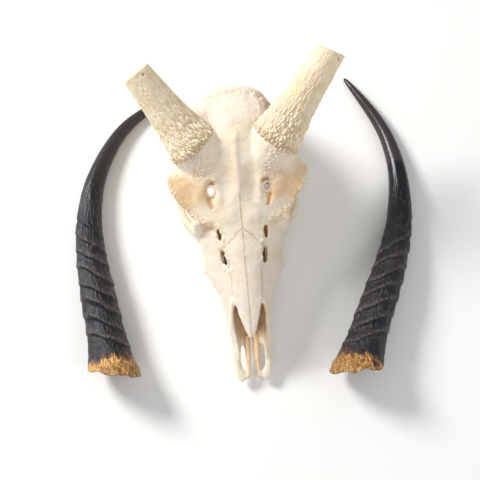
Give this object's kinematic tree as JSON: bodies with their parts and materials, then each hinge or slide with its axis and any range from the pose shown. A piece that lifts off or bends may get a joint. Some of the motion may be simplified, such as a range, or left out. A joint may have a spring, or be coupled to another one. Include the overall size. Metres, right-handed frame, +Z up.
{
  "type": "southern reedbuck skull with sawn horn cores and two loose horn sheaths",
  "caption": "Cleaned reedbuck skull without its lower jaw, horn cores sawn short, lying between its own pair of black, ringed horn sheaths.",
  "frame": {"origin": "middle of the whole model's box, on the floor that it lies on", "axes": "+Z up; the muzzle points to -Y and the sawn horn cores to +Y; +X is to the right as seen from above with the muzzle at the bottom"},
  "size_m": [0.3184, 0.3016, 0.1422],
  "materials": {
    "bone": "dry, bleached bone, matt with a faint sheen",
    "bone_warm": "dry bone stained tan round the eye rims",
    "core": "porous, grooved horn core, matt",
    "horn": "satin black horn, smooth at the tip, fibrous and tan at the base"
  },
  "bodies": {
    "root": {"braincase": "bone", "frontal_left": "bone_warm", "frontal_right": "bone_warm", "horn_core_left": "core", "horn_core_right": "core", "cheek_left": "bone", "cheek_right": "bone", "maxilla_left": "bone", "maxilla_right": "bone", "nasal_left": "bone", "nasal_right": "bone", "premaxilla_left": "bone", "premaxilla_right": "bone", "horn_sheath_left": "horn", "horn_sheath_right": "horn"}
  },
  "joints": []
}
